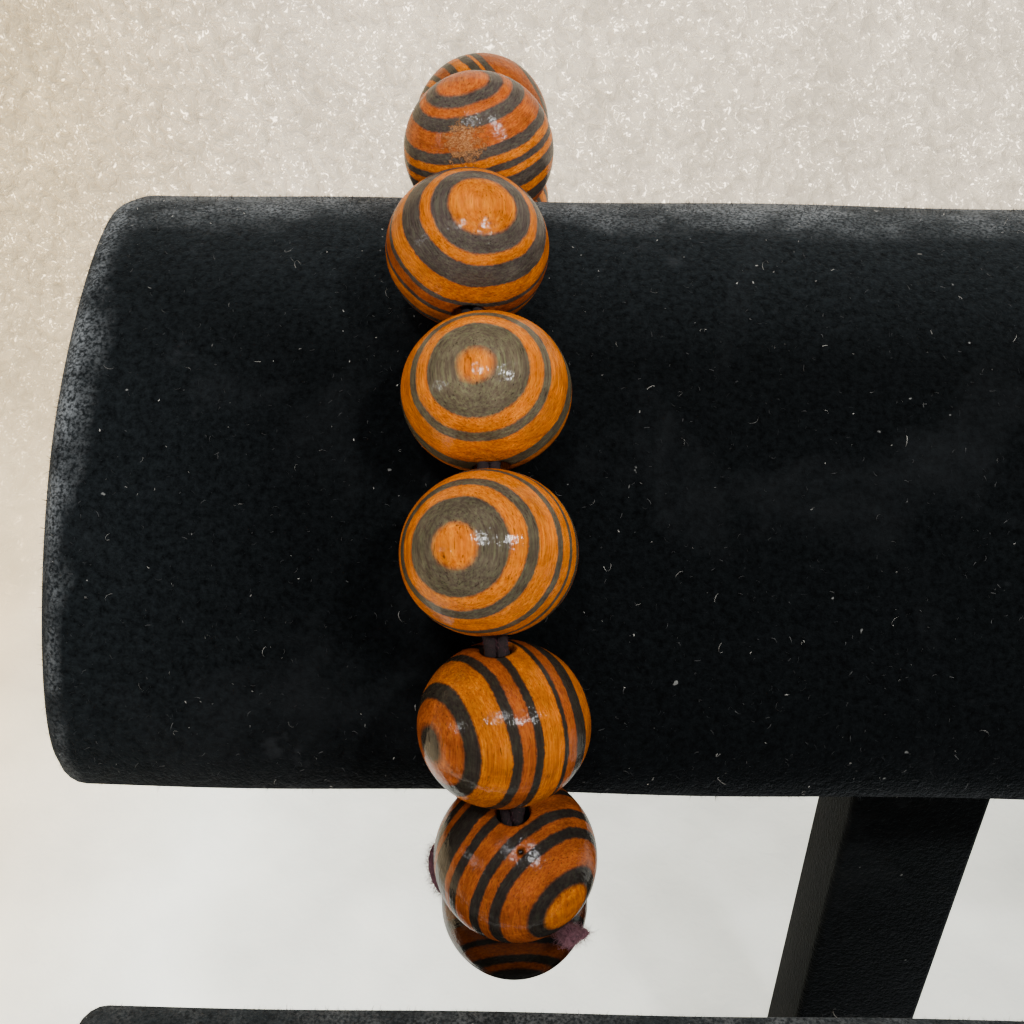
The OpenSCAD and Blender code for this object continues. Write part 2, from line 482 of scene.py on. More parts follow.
def wood_material(name, bands, settings, seed, tones_and_shade):
    """Dyed wood layers stacked along one axis, under worn satin lacquer."""
    material, build = new_material(name)
    # The dyes carry the bead's painted light and shade: its wood and dark layers are brightened or
    # darkened by how it is lit where it hangs.
    light, dark_light, blue = tones_and_shade
    dyes_and_shade = {O: [light * c for c in settings.orange], R: [light * c for c in settings.brick],
            D: [light * dark_light * c * k for c, k in zip(settings.dark, (1.0, 1.0, blue))]}
    wood = build.attribute("wood_mm", "Vector")
    shifted = build.vector("ADD", wood, (seed * 31.7, seed * 17.3, seed * 7.9))
    along_grain = build.vector("MULTIPLY", shifted, (3.0, 0.25, 9.0))

    # Layers meet the surface at a flat angle near the eye, so they stray less there.
    depth = build.axes(wood)[2]
    chord = build.times(depth, build.minus(BEAD_MM, depth))
    slope = build.times(build.maths("SQRT", build.maths("MAXIMUM", chord, 1.0)), 2 / BEAD_MM)
    stray = build.plus(build.swing(0.55, shifted, 0.22, 2.0), build.swing(0.26, shifted, 2.4, 3.0, 0.6),
                       build.swing(0.18, along_grain, 1.3, 3.0, 0.6))
    wavy = build.plus(depth, build.times(stray, slope))
    dyed = layer_dyes(build, wavy, bands, dyes_and_shade)

    # Each layer takes the dye a little differently, and its fibres show as fine streaks.
    layer_tone = build.add("ShaderNodeTexNoise", {"W": build.times(wavy, 0.9), "Scale": 1.0,
                                                  "Detail": 1.0}, noise_dimensions="1D").outputs["Fac"]
    streak = build.noise(along_grain, 0.9, 4.0, 0.7)
    blotch = build.noise(shifted, 0.45, 3.0)
    tone = build.times(build.remap(streak, 0.3, 0.7, 0.62, 1.30),
                       build.remap(blotch, 0.3, 0.7, 0.74, 1.24),
                       build.remap(layer_tone, 0.3, 0.7, 0.86, 1.14))
    golden = build.mixed(build.times(build.remap(streak, 0.42, 0.72), 0.8), dyed,
                         (1.0, 1.45, 1.0), "MULTIPLY")
    pores = build.remap(build.noise(along_grain, 1.7, 2.0, 0.5), 0.60, 0.70)
    pored = build.mixed(build.times(pores, 0.70), build.scaled(golden, tone), (0.016, 0.009, 0.005))

    # Where a bead is rubbed, the lacquer is torn and bare fibres show.
    rubbing = build.attribute("wear")
    torn = build.plus(rubbing, build.swing(2.6, shifted, 1.5, 4.0, 0.75))
    wear = build.times(build.remap(torn, 0.42, 0.78), build.remap(rubbing, 0.0, 0.25))
    fibres = build.remap(build.noise(along_grain, 1.6, 4.0, 0.8), 0.38, 0.60)
    bared = build.mixed(build.times(wear, 0.55), pored, (0.30, 0.10, 0.025))
    rubbed = build.mixed(build.times(wear, build.remap(fibres, 0.3, 0.9, 0.0, 0.9)), bared,
                         (0.80, 0.36, 0.12))
    # The pit is coloured near black: painted shade at its bottom.
    drilled = build.mixed(build.attribute("pit"), rubbed, (0.008, 0.004, 0.002))

    scratches = build.noise(shifted, 3.4, 3.0, 0.75)
    dimples = build.noise(shifted, 1.0, 2.0)
    ridges = build.plus(build.times(streak, 0.35), build.times(scratches, 0.5),
                        build.times(wear, fibres, 6.0), build.times(layer_tone, 0.6),
                        build.times(dimples, 3.0))
    dents = build.plus(build.times(build.noise(shifted, 0.8, 2.0, 0.5), 1.4),
                       build.times(build.noise(along_grain, 0.8, 2.0, 0.5), 0.6),
                       build.times(wear, build.noise(shifted, 3.0, 3.0), 4.0))
    build.surface({"Base Color": drilled, "Roughness": 0.5, "Specular IOR Level": 0.0,
                   "Normal": build.bump(ridges, 0.6, 0.15 * MM), "Coat Weight": 0.42,
                   "Coat Roughness": build.plus(0.15, build.times(wear, 0.10)),
                   "Coat Normal": build.bump(dents, 0.45, 0.15 * MM)})
    return material


def hidden_bands(rng):
    """Layers for a bead that the picture doesn't chart, in the same rhythm."""
    bands, depth, turn = [], 0.0, int(rng.integers(0, 2))
    while depth < BEAD_MM:
        depth += rng.uniform(0.7, 1.1) if turn % 2 else rng.uniform(1.0, 1.9)
        dye = D if turn % 2 else (O if rng.random() < 0.55 else R)
        bands.append((min(depth, BEAD_MM), dye))
        turn += 1
    return bands


def dress_bead(node, number, middle, axis, tree, settings, stage):
    """One bead: its turned shape, its layers' direction and its wear."""
    rng = np.random.default_rng(700 + number)
    view = sight(stage, middle)
    seen = node in CHARTED_BEADS
    if seen:
        eye, bands = CHARTED_BEADS[node]
        eye = unit(view @ Vector(eye))
    else:
        bands = hidden_bands(rng)
        about = Vector(rng.normal(size=3))
        eye = unit(axis.cross(about) + 0.25 * Vector(rng.normal(size=3)))
    material = wood_material(f"layered_wood_{number:02d}", bands, settings, number,
                             BEAD_TONES_AND_SHADE.get(node, HIDDEN_TONES))
    mesh = grown(node + "_turned", tree, {
        "Across": settings.across, "Along": settings.along, "Hole": settings.hole,
        "Lip": settings.lip, "Unevenness": settings.uneven, "Seed": float(number),
        "Around": settings.around_seen if seen else settings.around_hidden,
        "Material": material})
    smooth(mesh)
    mesh.transform(axis.to_track_quat("Z", "Y").to_matrix().to_4x4())
    co = np.empty(len(mesh.vertices) * 3)
    mesh.vertices.foreach_get("co", co)
    co = co.reshape(-1, 3)
    out = co / np.linalg.norm(co, axis=1, keepdims=True)

    side = unit(eye.cross(axis) if abs(eye.dot(axis)) < 0.9 else eye.orthogonal())
    third = eye.cross(side)
    wood = co @ np.array([side, third, -eye]).T / MM + [0, 0, BEAD_MM / 2]
    wear, pit = np.zeros(len(co)), np.zeros(len(co))
    if node == "bead_02":
        wear = spot(out, view, *RUBBED_PLACE)
        ragged = 0.05 * MM * np.sin(co[:, 0] * 9000) * np.sin(co[:, 2] * 7000 + 1)
        co += out * (wear * ragged)[:, None]
    if node == "bead_07":
        pit = spot(out, view, *PIT_PLACE)
        co -= out * (PIT_DEPTH * pit)[:, None]
    co += np.array(middle)
    mesh.vertices.foreach_set("co", co.ravel())
    mark(mesh, "wood_mm", wood)
    mark(mesh, "wear", wear)
    mark(mesh, "pit", pit)
    mesh.update()
    settle(plain_object(node + "_turned", mesh), "layered_wood", node)


def spot(directions, view, middle, reach, soft):
    """1 near a direction in the view and 0 away from it, with a soft edge, in radians."""
    middle = np.array(unit(view @ Vector(middle)))
    away = np.arccos(np.clip(directions @ middle, -1, 1))
    return np.clip((reach - away) / soft, 0, 1)


# Elastic and knot

def strand_tree():
    """A covered elastic strand: a tube along a curve, with the cover's fine ribs."""
    build = geometry_tree("Covered elastic", [
        ("Diameter", "Float"), ("Step", "Float"), ("Rib", "Float"), ("Material", "Material")])
    given = build.given
    even = build.add("GeometryNodeResampleCurve", {"Curve": given["Geometry"],
                                                   "Length": given["Step"]}, mode="LENGTH")
    ring = build.add("GeometryNodeCurvePrimitiveCircle",
                     {"Resolution": 12, "Radius": build.times(given["Diameter"], 0.5)})
    tube = build.add("GeometryNodeCurveToMesh", {"Curve": even.outputs[0],
                                                 "Profile Curve": ring.outputs[0],
                                                 "Fill Caps": True})
    place = build.add("GeometryNodeInputPosition").outputs[0]
    lift = build.swing(given["Rib"], place, 2600.0, 2.0, 0.5)
    return finish_tree(build, build.swollen(tube.outputs[0], lift))


def fuzz_tree():
    """Short bent fibres standing on a surface, each a thin two-sided blade."""
    build = geometry_tree("Stray fibres", [
        ("Count", "Float"), ("Everywhere", "Float"), ("Length", "Float"), ("Width", "Float"),
        ("Lay", "Float"), ("Curl", "Float"), ("Rows", "Int"), ("Seed", "Int"),
        ("Material", "Material")])
    given, m = build.given, build.maths
    nap = build.add("GeometryNodeInputNamedAttribute", {"Name": "nap"}, data_type="FLOAT")
    clumps = build.add("ShaderNodeTexNoise", {"Scale": 260.0, "Detail": 2.0})
    tufted = build.times(nap.outputs[0], build.remap(clumps.outputs["Fac"], 0.38, 0.6))
    share = m("MAXIMUM", tufted, given["Everywhere"])
    spread = build.add("GeometryNodeDistributePointsOnFaces", {
        "Mesh": given["Geometry"], "Density": build.times(given["Count"], share),
        "Seed": given["Seed"]})

    # A blade tapers from root to tip and bends on one round arc.
    blade = build.add("GeometryNodeMeshGrid", {"Size X": 1.0, "Size Y": 1.0,
                                               "Vertices X": 2, "Vertices Y": given["Rows"]})
    across, along, _ = build.axes(build.add("GeometryNodeInputPosition").outputs[0])
    t = build.plus(along, 0.5)
    taper = build.times(given["Width"], build.minus(1.0, build.times(t, 0.8)))
    turned = build.times(t, given["Curl"])
    arc_r = m("DIVIDE", given["Length"], given["Curl"])
    bent = build.point(build.times(across, taper),
                       build.times(build.minus(1.0, m("COSINE", turned)), arc_r),
                       build.times(m("SINE", turned), arc_r))
    shaped = build.moved(blade.outputs[0], Position=bent)

    turn = build.add("FunctionNodeRandomValue", {0: (-1, -1, -math.pi), 1: (1, 1, math.pi),
                                                 "Seed": 11}, data_type="FLOAT_VECTOR")
    lay = build.vector("MULTIPLY", turn.outputs[0], build.point(given["Lay"], given["Lay"], 1.0))
    size = build.add("FunctionNodeRandomValue", {2: 0.45, 3: 1.25, "Seed": 5})
    stood = build.add("GeometryNodeInstanceOnPoints", {
        "Points": spread.outputs["Points"], "Instance": shaped,
        "Rotation": spread.outputs["Rotation"], "Scale": size.outputs[1]})
    leaned = build.add("GeometryNodeRotateInstances", {"Instances": stood.outputs[0],
                                                       "Rotation": lay})
    return finish_tree(build, leaned.outputs[0])


def cloth_material(name, tint, sheen, light=(0.5, 0.42, 0.46)):
    """Fine fabric cover with a soft edge glow."""
    material, build = new_material(name)
    place = build.add("ShaderNodeTexCoord").outputs["Object"]
    threads = build.noise(place, 2400.0, 3.0, 0.6)
    patches = build.noise(place, 420.0, 3.0, 0.6)
    tone = build.times(build.remap(threads, 0.3, 0.7, 0.55, 1.6),
                       build.remap(patches, 0.3, 0.7, 0.75, 1.35))
    build.surface({"Base Color": build.scaled(tint, tone), "Roughness": 0.9,
                   "Sheen Weight": sheen, "Sheen Roughness": 0.5, "Sheen Tint": (*light, 1.0),
                   "Normal": build.bump(threads, 0.6, 0.1 * MM)})
    return material


def smooth_loop(points, closed):
    """Points along a soft curve through the given ones, eight for each of them."""
    steps = 8
    pts = np.array([list(p) for p in points])
    total = len(pts)
    out = []
    for i in range(total if closed else total - 1):
        near = range(i - 1, i + 3)
        a, b, c, d = pts.take(near, axis=0, mode="wrap" if closed else "clip")
        for t in np.arange(steps) / steps:
            out.append(0.5 * (2 * b + (c - a) * t + (2 * a - 5 * b + 4 * c - d) * t ** 2
                              + (3 * b - a - 3 * c + d) * t ** 3))
    if not closed:
        out.append(pts[-1])
    return np.array(out)


def curve_through(name, lines, closed):
    curve = bpy.data.curves.new(name, "CURVE")
    curve.dimensions = "3D"
    for line in lines:
        spline = curve.splines.new("POLY")
        spline.points.add(len(line) - 1)
        spline.points.foreach_set("co", np.c_[line, np.ones(len(line))].ravel())
        spline.use_cyclic_u = closed
    return curve


def gap_middle(settings, bead, after):
    """The point midway between a bead's mouth and the next bead's."""
    half = settings.along / 2
    return (bead[0] + half * bead[1] + after[0] - half * after[1]) / 2


def cord_route(settings):
    """Straight through each hole and round the corner between two beads."""
    frames = bead_frames()
    route = []
    for bead, after in zip(frames, frames[1:] + frames[:1]):
        middle, reach = bead[0], 0.3 * settings.along * bead[1]
        route += [middle - reach, middle + reach, gap_middle(settings, bead, after)]
    return route


def notch_frame(settings):
    """The gap beside the seventh bead: its middle, the string's direction, side and front."""
    seventh, eighth = bead_frames()[6:8]
    link = unit(eighth[0] - seventh[0])
    side = unit(link.cross(Vector((1, 0, 0))).cross(link))
    return gap_middle(settings, seventh, eighth), link, side, -side.cross(link)


def frayed(name, mesh, tree, count, length, material, seed, lay, width, everywhere=1.0,
           curl=0.9, rows=3):
    """Fibres that stand out of a mesh, as one joined mesh."""
    return grown(name, tree, {"Count": count, "Everywhere": everywhere, "Length": length,
                              "Width": width, "Lay": lay, "Curl": curl, "Rows": rows,
                              "Seed": seed, "Material": material}, mesh.copy())


def joined(name, *meshes):
    """One object from several meshes that share the row frame."""
    parts = [plain_object(f"{name}_{i}", mesh) for i, mesh in enumerate(meshes)]
    with bpy.context.temp_override(active_object=parts[0], selected_editable_objects=parts):
        bpy.ops.object.join()
    parts[0].name = name
    return parts[0]


# Velvet stand

def bar_outline(velvet, inset=0.0, steps=72):
    """Half of a pointed oval with rounded long edges, as in the CAD solid, drawn in by an inset."""
    a, depth = velvet.bar_width / 2 - inset, velvet.bar_depth - 2 * inset
    r, power = max(velvet.bar_edge - 0.6 * inset, 0.4 * MM), 2 / velvet.bar_full
    start = math.acos((1 - r / a) ** (1 / power))
    arc = [start + (math.pi - 2 * start) * k / steps for k in range(steps + 1)]
    points = [(a * math.copysign(abs(math.cos(t)) ** power, math.cos(t)),
               depth * math.sin(t) ** power) for t in arc]
    corner = [math.radians(10 * k) for k in range(10)]
    points += [(-a + r - r * math.cos(t), r - r * math.sin(t)) for t in corner]
    flat = 10
    points += [(-a + r + 2 * (a - r) * k / flat, 0.0) for k in range(1, flat)]
    points += [(a - r + r * math.sin(t), r - r * math.cos(t)) for t in corner]
    return np.array(points) + [0.0, inset]


def velvet_bar(name, node, velvet, brushed):
    """A bar's skin: rows of its outline along X, with the cloth rounded over both ends."""
    outline = bar_outline(velvet)
    lean = np.array([[math.cos(velvet.bar_lean), -math.sin(velvet.bar_lean)],
                     [math.sin(velvet.bar_lean), math.cos(velvet.bar_lean)]])
    low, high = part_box(node)
    place = np.array([low.y, low.z]) - (outline @ lean.T).min(0)
    r = velvet.end_round
    rows = [(low.x + r - r * math.cos(t), r - r * math.sin(t))
            for t in np.linspace(0, math.pi / 2, 6)]
    rows += [(x, 0.0) for x in np.linspace(low.x + r, high.x - r, 60)[1:-1]]
    rows += [(low.x + high.x - x, inset) for x, inset in reversed(rows[:6])]
    size = len(outline)
    verts = []
    for x, inset in rows:
        ring = bar_outline(velvet, inset) @ lean.T + place
        verts += [(x, y, z) for y, z in ring]
    faces = []
    for k in range(len(rows) - 1):
        for s in range(size):
            a, b = k * size + s, k * size + (s + 1) % size
            faces.append((a, a + size, b + size, b))
    faces.append(tuple(range(size)))
    faces.append(tuple(reversed(range((len(rows) - 1) * size, len(rows) * size))))
    mesh = bpy.data.meshes.new(name)
    mesh.from_pydata(verts, [], faces)
    outward(mesh)
    smooth(mesh)
    co = np.array([v.co for v in mesh.vertices])
    co[:, 1:] += 0.12 * MM * np.sin(co[:, :1] * 130 + co[:, 1:] * 170 + [0.4, 2.0])
    mesh.vertices.foreach_set("co", co.ravel())
    flat = (co[:, 1:] - place) @ lean
    up = (flat[:, 0] / velvet.bar_width + 0.5).clip(0, 1)
    from_end = np.minimum(co[:, 0] - low.x, high.x - co[:, 0])
    from_top = velvet.bar_width / 2 - flat[:, 0]
    from_bottom = velvet.bar_width / 2 + flat[:, 0]
    # Pale nap at the ends and long edges: partly real wear and partly painted sheen, stronger towards
    # the top of the ends.
    ends_worn_and_sheen = (1 - abs(from_end / MM - 1.5) / 2.7).clip(0, 1) * (0.5 + 0.5 * up)
    top_worn_and_sheen = (1 - from_top / (11 * MM)).clip(0, 1) * 0.8
    bottom_worn_and_sheen = (1 - from_bottom / (2 * MM)).clip(0, 1) * 0.3
    nap = np.maximum(np.maximum(ends_worn_and_sheen, top_worn_and_sheen), bottom_worn_and_sheen) * brushed
    lit = np.maximum((up - 0.62) / 0.38, 0.45 - from_end / (60 * MM)).clip(0, 1)
    mark(mesh, "lit", lit)
    mark(mesh, "nap", nap)
    mesh.update()
    return mesh


def outward(mesh):
    """Turns every face outwards, after doubles are merged."""
    shape = bmesh.new()
    shape.from_mesh(mesh)
    bmesh.ops.remove_doubles(shape, verts=shape.verts, dist=1e-7)
    bmesh.ops.recalc_face_normals(shape, faces=shape.faces)
    shape.to_mesh(mesh)
    shape.free()


def rounded_copy(node, name, width):
    """A copy of a plain CAD solid with merged corners and rounded edges."""
    shape = bmesh.new()
    shape.from_mesh(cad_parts[node].data)
    bmesh.ops.remove_doubles(shape, verts=shape.verts, dist=1e-6)
    bmesh.ops.dissolve_limit(shape, angle_limit=math.radians(1), verts=shape.verts, edges=shape.edges)
    edges = [e for e in shape.edges if len(e.link_faces) == 2
             and e.calc_face_angle() > math.radians(30)]
    bmesh.ops.bevel(shape, geom=edges, offset=width, segments=4, affect="EDGES", profile=0.5)
    bmesh.ops.recalc_face_normals(shape, faces=shape.faces)
    mesh = bpy.data.meshes.new(name)
    shape.to_mesh(mesh)
    shape.free()
    mesh.materials.clear()
    smooth(mesh)
    mesh.set_sharp_from_angle(angle=math.radians(50))
    return mesh


def velvet_material(velvet):
    """Black velvet: deep pile, brushed patches, dusty worn places and an edge sheen."""
    material, build = new_material("black_velvet")
    place = build.add("ShaderNodeTexCoord").outputs["Object"]
    nap, lit = build.attribute("nap"), build.attribute("lit")
    pile = build.noise(place, 1500.0, 3.0, 0.75)
    brushed = build.noise(place, 38.0, 4.0, 0.62, Distortion=0.6)
    dusty = build.noise(place, 90.0, 4.0, 0.7)
    along_bar = build.noise(place, 26.0, 2.0, 0.6)
    speck = build.noise(place, 700.0, 2.0, 0.5)
    depth = build.times(build.remap(pile, 0.3, 0.7, 0.35, 1.9),
                        build.plus(1.0, build.times(lit, 4.6)))
    deep = build.scaled(tuple(velvet.black), depth)
    laid = build.mixed(build.times(build.remap(brushed, 0.54, 0.80), 0.16), deep, velvet.worn)

    # The nap is pale at the edges, in patches that end raggedly: partly real wear and partly painted
    # sheen where the pile catches the light.
    astray = build.minus(build.plus(build.times(dusty, 0.5), build.times(along_bar, 0.5)), 0.5)
    ragged = build.plus(nap, build.times(astray, 1.6))
    patchy = build.times(
        build.remap(build.noise(place, 150.0, 3.0, 0.6), 0.36, 0.62, 0.25, 1.2),
        build.remap(build.noise(place, 2800.0, 3.0, 0.6), 0.40, 0.62, 0.10, 1.55))
    near_edge = build.times(build.remap(ragged, 0.22, 0.95), build.remap(nap, 0.0, 0.2), patchy)
    edge_worn_and_sheen = build.mixed(near_edge, laid, velvet.edge)
    rubbed = build.mixed(build.times(build.remap(dusty, 0.66, 0.82), 0.45), edge_worn_and_sheen, velvet.worn)
    specks = build.mixed(build.remap(speck, 0.765, 0.79), rubbed, (0.16, 0.16, 0.15))

    height = build.plus(build.times(pile, 0.7), build.times(brushed, 0.5))
    build.surface({"Base Color": specks, "Roughness": 0.95, "Specular IOR Level": 0.06,
                   "Sheen Weight": 0.11, "Sheen Roughness": 0.32,
                   "Sheen Tint": (0.72, 0.78, 0.82, 1.0),
                   "Normal": build.bump(height, 0.8, 0.5 * MM)})
    return material


def backdrop_material(stage):
    """Crinkled pale foam with sparkles, warmer and rougher towards the back. It glows with its own
    colour as painted light, dimmer higher up, with painted shade in its crinkles and painted glints for
    its sparkles.
    """
    material, build = new_material("pale_backdrop")
    place = build.add("ShaderNodeTexCoord").outputs["Object"]
    left, _, height = build.axes(place)
    back = build.remap(height, 0.0, 0.08)
    crumple = build.noise(place, 240.0, 3.0, 0.62, Distortion=0.6)
    coarse = build.noise(place, 34.0, 3.0)
    tint = build.mixed(back, stage.cool, stage.warm)
    tint = build.mixed(build.remap(left, -0.13, -0.21), tint, (0.78, 0.62, 0.38))
    # Painted shade in the crinkles, towards the back.
    shade = build.remap(crumple, 0.3, 0.7, 0.76, 1.20)
    crinkle_shaded = build.mixed(back, (1.0, 1.0, 1.0), build.point(shade, shade, shade))
    low_light = build.remap(left, -0.13, -0.01, 1.60, 0.92)
    floor_light = build.plus(build.times(low_light, build.minus(1.0, back)),
                             build.times(back, 1.27))
    tone = build.times(floor_light, build.remap(coarse, 0.3, 0.7, 0.86, 1.12))
    toned = build.scaled(build.mixed(1.0, tint, crinkle_shaded, "MULTIPLY"), tone)

    # The sparkles are painted glints: bright specks in the glow, towards the back.
    glint = build.remap(build.noise(place, 430.0, 1.0, 0.5, Distortion=2.5), 0.61, 0.70)
    sparkle = build.times(glint, build.remap(crumple, 0.40, 0.62), back)
    glow = build.plus(build.remap(height, 0.0, 0.05, 1.05, 0.42), build.times(sparkle, 3.5))
    roughened = build.plus(0.15, build.times(back, 0.85))
    build.surface({"Base Color": toned, "Emission Color": toned, "Emission Strength": glow,
                   "Roughness": 0.5, "Normal": build.bump(crumple, roughened, 3.0 * MM)})
    return material


def add_lamp(name, offset, size, watts, seen_in_gloss):
    """A round area light that faces the fifth bead."""
    light = bpy.data.lights.new(name, "AREA")
    light.shape = "DISK"
    light.size = size
    light.energy = watts
    lamp = plain_object(name, light)
    lamp.visible_glossy = seen_in_gloss
    lamp.location = node_middle("bead_05") + Vector(offset)
    lamp.rotation_euler = (-Vector(offset)).to_track_quat("-Z", "Y").to_euler()


# Operators

class BRACELET_OT_beads(bpy.types.Operator):
    """Turn, drill and dye the sixteen layered wooden beads"""
    bl_idname = "bracelet.beads"
    bl_label = "Make beads"

    def execute(self, context):
        settings, stage = context.scene.bracelet_beads, context.scene.bracelet_stage
        tree = bead_tree()
        for number, (node, (middle, axis)) in enumerate(zip(BEAD_NODES, bead_frames()), 1):
            dress_bead(node, number, middle, axis, tree, settings, stage)
        return {"FINISHED"}


class BRACELET_OT_elastic(bpy.types.Operator):
    """Thread the doubled elastic through every bead"""
    bl_idname = "bracelet.elastic"
    bl_label = "Make elastic"

    def execute(self, context):
        settings, beads = context.scene.bracelet_elastic, context.scene.bracelet_beads
        material = cloth_material("elastic_cover", tuple(settings.plum), 0.0)
        line = smooth_loop(cord_route(beads), closed=True)
        run = np.roll(line, -1, axis=0) - np.roll(line, 1, axis=0)
        run /= np.linalg.norm(run, axis=1, keepdims=True)
        across = np.cross(run, [1.0, 0, 0])
        across /= np.linalg.norm(across, axis=1, keepdims=True)
        beside = np.cross(run, across)
        lines = []
        for k in range(settings.strands):
            turn = math.tau * (k + 0.5) / settings.strands
            turns = turn + 0.5 * np.sin(np.arange(len(line)) * 0.11)
            lines.append(line + settings.spread * (np.cos(turns)[:, None] * across
                                                   + np.sin(turns)[:, None] * beside))
        curve = curve_through("elastic_route", lines, closed=True)
        mesh = grown("elastic_strands", strand_tree(), {
            "Diameter": settings.strand, "Step": 0.3 * MM, "Rib": 0.10 * MM,
            "Material": material}, curve)
        smooth(mesh)
        co = np.array([v.co for v in mesh.vertices])
        gaps = np.array([list(place) for place in cord_route(beads)[2::3]])
        away = np.linalg.norm(co[:, None] - gaps, axis=2).min(1)
        near = (away < 2.0 * MM).astype(float)
        mark(mesh, "nap", near)
        fluff = cloth_material("elastic_fluff", tuple(settings.frayed), 0.05)
        hair = frayed("elastic_hair", mesh, fuzz_tree(), 2.5e7, 0.45 * MM, fluff, 21, 1.2,
                      0.03 * MM, 0.0, 1.6)
        settle(plain_object("elastic_strands", mesh), "elastic", "elastic_cord")
        settle(plain_object("elastic_hair", hair), "elastic")
        return {"FINISHED"}


class BRACELET_OT_knot(bpy.types.Operator):
    """Tie the knot beside the seventh bead, with frayed ends"""
    bl_idname = "bracelet.knot"
    bl_label = "Make knot"

    def execute(self, context):
        settings, beads = context.scene.bracelet_elastic, context.scene.bracelet_beads
        material = cloth_material("frayed_cover", tuple(settings.frayed), 0.05)
        gap, link, side, front = notch_frame(beads)
        heart = gap + settings.knot_side * side + settings.knot_front * front
        size = settings.knot / 2 * 0.45
        knot = []
        for t in np.linspace(0, math.tau, 90, endpoint=False):
            local = Vector(((math.sin(t) + 2 * math.sin(2 * t)) / 3,
                            (math.cos(t) - 2 * math.cos(2 * t)) / 3, -math.sin(3 * t) / 1.8))
            knot.append(heart + size * (local.x * side + local.y * link + local.z * front))
        out = unit(heart - gap)
        seventh = bead_frames()[6][0]
        view = sight(context.scene.bracelet_stage, seventh)
        beside = [seventh + view @ (Vector(place) * MM) for place in FAR_END_MM]
        lines = [
            smooth_loop([gap + 1.4 * MM * out, gap + 3.4 * MM * out + 0.2 * MM * link, heart],
                        closed=False),
            smooth_loop([heart, heart + 1.1 * MM * side + 0.1 * MM * link,
                         heart + 1.7 * MM * side - 0.5 * MM * front], closed=False),
            smooth_loop([heart, heart - 0.3 * MM * side + 0.9 * MM * link,
                         heart - 0.2 * MM * side + 1.5 * MM * link], closed=False),
            smooth_loop([gap - 1.5 * MM * side, gap - 6.0 * MM * side - 0.8 * MM * front, *beside],
                        closed=False)]
        tree = strand_tree()
        values = {"Step": 0.15 * MM, "Rib": 0.16 * MM, "Material": material}
        ball = grown("knot_ball", tree, {"Diameter": 0.8 * MM, **values},
                     curve_through("knot_line", [knot], True))
        ends = grown("knot_ends", tree, {"Diameter": 0.75 * MM, **values},
                     curve_through("tail_lines", lines, False))
        smooth(ball)
        smooth(ends)
        fibres = fuzz_tree()
        fluff = cloth_material("fluff", tuple(settings.fluff), 0.1)
        hair = frayed("knot_hair", ball, fibres, 9e7, 1.15 * MM, fluff, 3, 1.3, 0.032 * MM,
                      curl=2.0, rows=4)
        ends_hair = frayed("ends_hair", ends, fibres, 7e7, 1.15 * MM, fluff, 4, 1.3,
                           0.032 * MM, curl=2.0, rows=4)
        piece = joined("knot_tied", ball, ends, hair, ends_hair)
        settle(piece, "elastic", "knot")
        return {"FINISHED"}


class BRACELET_OT_bars(bpy.types.Operator):
    """Cover the two bars with velvet"""
    bl_idname = "bracelet.bars"
    bl_label = "Make bars"

    def execute(self, context):
        velvet = context.scene.bracelet_velvet
        material = velvet_material(velvet)
        fibre_stuff = cloth_material("pile_fibres", (0.010, 0.011, 0.012), 0.10, (0.7, 0.75, 0.8))
        lint = cloth_material("lint", (0.42, 0.40, 0.36), 0.3, (0.9, 0.9, 0.9))
        dim_lint = cloth_material("dim_lint", (0.070, 0.070, 0.068), 0.1, (0.9, 0.9, 0.9))
        fibres = fuzz_tree()
        for number, node in enumerate(("upper_bar", "lower_bar")):
            mesh = velvet_bar(node + "_velvet", node, velvet, 0.55 if number else 1.0)
            mesh.materials.append(material)
            pile = frayed(node + "_pile", mesh, fibres, 9e6, velvet.pile, fibre_stuff, number, 0.7,
                          0.05 * MM, 0.02)
            specks = frayed(node + "_specks", mesh, fibres, 3.0e4, 0.24 * MM, lint, number + 5, 1.4,
                            0.12 * MM)
            hairs = frayed(node + "_hairs", mesh, fibres, 1.1e4, 1.6 * MM, lint, number + 9, 1.5,
                           0.04 * MM, curl=3.2, rows=9)
            dim = frayed(node + "_dim_hairs", mesh, fibres, 1.4e5, 0.7 * MM, dim_lint,
                         number + 13, 1.5, 0.05 * MM, curl=2.0, rows=5)
            settle(plain_object(node + "_velvet", mesh), "velvet", node)
            settle(joined(node + "_pile", pile, specks, hairs, dim), "velvet")
        return {"FINISHED"}


class BRACELET_OT_posts(bpy.types.Operator):
    """Cover the posts and the base with velvet"""
    bl_idname = "bracelet.posts"
    bl_label = "Make posts and base"

    def execute(self, context):
        material = bpy.data.materials["black_velvet"]
        for node, width in (("upper_post", 1.0), ("lower_post", 1.0), ("base", 1.6)):
            mesh = rounded_copy(node, node + "_velvet", width * MM)
            mesh.materials.append(material)
            settle(plain_object(node + "_velvet", mesh), "velvet", node)
        return {"FINISHED"}


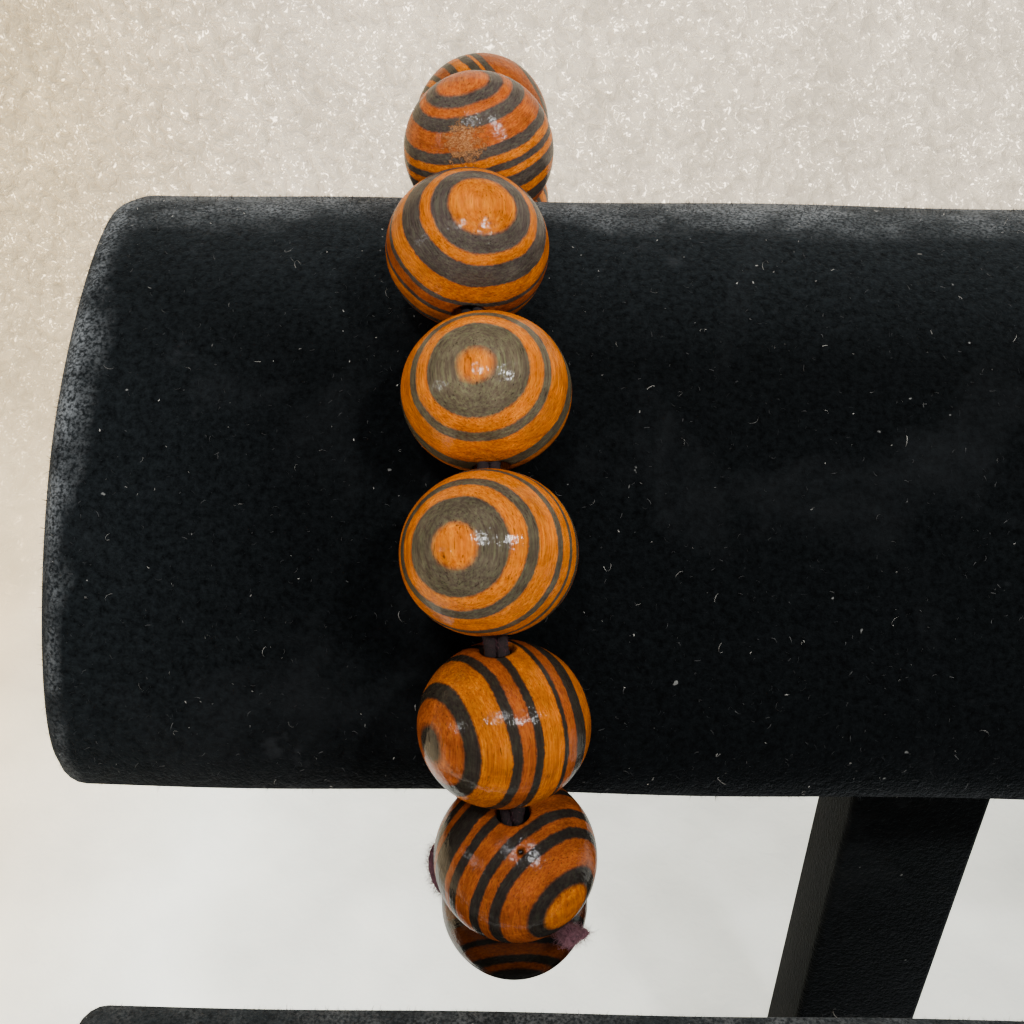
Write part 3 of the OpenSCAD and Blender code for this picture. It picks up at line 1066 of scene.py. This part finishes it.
class BRACELET_OT_stage(bpy.types.Operator):
    """Set the floor, the lights and the camera"""
    bl_idname = "bracelet.stage"
    bl_label = "Make stage"

    def execute(self, context):
        stage = context.scene.bracelet_stage
        profile = [(-0.08, 0.0), (0.14, 0.0)]
        profile += [(0.14 + stage.sweep * math.sin(t), stage.sweep * (1 - math.cos(t)))
                    for t in np.linspace(0.05, 1.4, 14)]
        last = profile[-1]
        profile.append((last[0] + 0.07, last[1] + 0.42))
        across = (-1.4, 1.4)
        floor_mesh = bpy.data.meshes.new("floor")
        floor_mesh.from_pydata([(x, y, z) for y, z in profile for x in across], [],
                               [(2 * k, 2 * k + 1, 2 * k + 3, 2 * k + 2)
                                for k in range(len(profile) - 1)])
        smooth(floor_mesh)
        floor_mesh.materials.append(backdrop_material(stage))
        plain_object("floor", floor_mesh)

        data = bpy.data.cameras.new("camera")
        data.sensor_width = 36
        data.lens = 36 * stage.focal_px / IMAGE_PX
        data.clip_start = 0.005
        camera = plain_object("camera", data)
        camera.matrix_world = camera_turn(stage).to_4x4()
        camera.location = camera_place(stage)
        context.scene.camera = camera

        for name, lamp in LAMPS.items():
            add_lamp(name, *lamp)
        world = bpy.data.worlds.new("soft_room")
        world.use_nodes = True
        sky = world.node_tree.nodes["Background"].inputs
        sky["Color"].default_value = (0.95, 0.97, 1.0, 1.0)
        sky["Strength"].default_value = 0.16
        context.scene.world = world
        return {"FINISHED"}


class BRACELET_PT_panel(bpy.types.Panel):
    """Lists the steps in the sidebar"""
    bl_idname = "BRACELET_PT_panel"
    bl_label = "Bead bracelet"
    bl_space_type = "VIEW_3D"
    bl_region_type = "UI"
    bl_category = "Bracelet"

    def draw(self, context):
        for step in STEPS:
            self.layout.operator(step.bl_idname)


SETTINGS = {"bracelet_beads": BeadSettings, "bracelet_elastic": ElasticSettings,
            "bracelet_velvet": VelvetSettings, "bracelet_stage": StageSettings}
STEPS = (BRACELET_OT_stage, BRACELET_OT_beads, BRACELET_OT_elastic, BRACELET_OT_knot,
         BRACELET_OT_bars, BRACELET_OT_posts)
CLASSES = (*SETTINGS.values(), *STEPS, BRACELET_PT_panel)


def register():
    for cls in CLASSES:
        bpy.utils.register_class(cls)
    for name, group in SETTINGS.items():
        setattr(bpy.types.Scene, name, PointerProperty(type=group))


def unregister():
    for name in SETTINGS:
        delattr(bpy.types.Scene, name)
    for cls in reversed(CLASSES):
        bpy.utils.unregister_class(cls)


def main():
    register()
    for step in STEPS:
        group, name = step.bl_idname.split(".")
        getattr(getattr(bpy.ops, group), name)()


if __name__ == "__main__":
    main()
